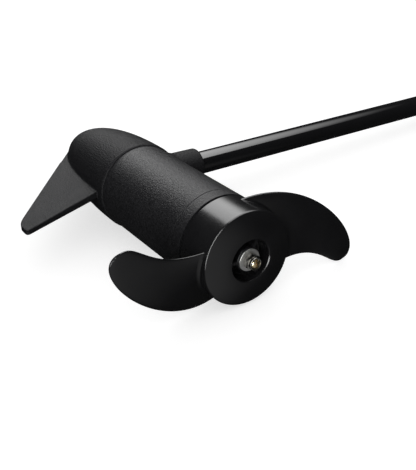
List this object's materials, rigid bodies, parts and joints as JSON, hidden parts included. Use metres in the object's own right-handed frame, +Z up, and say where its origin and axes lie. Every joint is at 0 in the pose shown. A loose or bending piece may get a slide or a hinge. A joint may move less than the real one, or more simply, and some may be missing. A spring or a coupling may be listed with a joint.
{
  "type": "trolling motor lower unit",
  "caption": "Electric boat drive pod: finned nose casting, round motor barrel, bladed propeller on a hollow hub and a long column tube, with its motor, bearing, seals, brushes and leads inside.",
  "frame": {"origin": "centre of the bounding box's base, on the ground that the unit lies on", "axes": "+X along the column tube towards its free end, +Y along the motor axis from the propeller to the nose, +Z up"},
  "size_m": [0.9234, 0.3474, 0.093],
  "materials": {
    "cast_coat": "satin black powder coat, fine texture",
    "barrel_coat": "satin black powder coat, fine texture",
    "column_gloss": "smooth gloss black",
    "propeller_plastic": "gloss black moulded nylon",
    "stainless": "bright stainless steel",
    "shaft_steel": "turned steel with a warm plated tint",
    "bearing_steel": "ground bearing steel",
    "laminations": "stacked electrical steel",
    "ferrite": "dull sintered ferrite",
    "copper": "enamelled copper",
    "sintered_bronze": "dull sintered bronze",
    "brass": "bright brass",
    "carbon": "pressed carbon",
    "seal_rubber": "black nitrile rubber",
    "fibre_board": "brown laminated fibre",
    "red_sleeve": "red cable sleeve",
    "black_sleeve": "black cable sleeve"
  },
  "bodies": {
    "housing": {"nose_casting": "cast_coat", "rear_housing": "cast_coat", "center_housing": "barrel_coat", "column_tube": "column_gloss", "nose_o_ring": "seal_rubber", "rear_o_ring": "seal_rubber", "outer_shaft_seal": "seal_rubber", "inner_shaft_seal": "seal_rubber", "bearing_outer_ring": "bearing_steel", "nose_bushing": "sintered_bronze", "brush_plate": "fibre_board", "magnet_1": "ferrite", "magnet_2": "ferrite", "through_bolt_1": "stainless", "through_bolt_2": "stainless", "bolt_washer_1": "stainless", "bolt_washer_2": "stainless", "brush_plate_screw_1": "brass", "brush_plate_screw_2": "brass", "brush_holder_1": "brass", "brush_holder_2": "brass", "brush_spring_1": "stainless", "brush_spring_2": "stainless", "lead_red": "red_sleeve", "lead_black": "black_sleeve", "terminal_red": "brass", "terminal_black": "brass"},
    "rotor": {"armature_shaft": "shaft_steel", "armature_core": "laminations", "armature_winding": "copper", "commutator": "copper", "bearing_inner_ring": "bearing_steel", "bearing_clip": "stainless", "thrust_washer": "fibre_board", "drive_pin": "stainless", "propeller": "propeller_plastic", "prop_washer": "stainless", "prop_nut": "stainless"},
    "ball_cage": {"ball_cage": "bearing_steel"},
    "brush_1": {"brush_1": "carbon"},
    "brush_2": {"brush_2": "carbon"}
  },
  "joints": [
    {"name": "rotor_spin", "type": "hinge", "parent": "housing", "child": "rotor", "pos_m": [-0.32217, -0.1613, 0.0465], "axis": [0, 1, 0], "continuous": true},
    {"name": "ball_cage_spin", "type": "hinge", "parent": "housing", "child": "ball_cage", "pos_m": [-0.32217, -0.1093, 0.0465], "axis": [0, 1, 0], "continuous": true},
    {"name": "brush_1_slide", "type": "slide", "parent": "housing", "child": "brush_1", "axis": [0.0431, 0, 0.9991], "range_m": [0, 0.004], "stiffness_N_per_m": 200, "springref_m": -0.008, "deforming": ["brush_spring_1"]},
    {"name": "brush_2_slide", "type": "slide", "parent": "housing", "child": "brush_2", "axis": [-0.0431, 0, -0.9991], "range_m": [0, 0.004], "stiffness_N_per_m": 200, "springref_m": -0.008, "deforming": ["brush_spring_2"]}
  ],
  "couplings": [
    {"joint": "ball_cage_spin", "follows": "rotor_spin", "ratio": 0.3864}
  ]
}
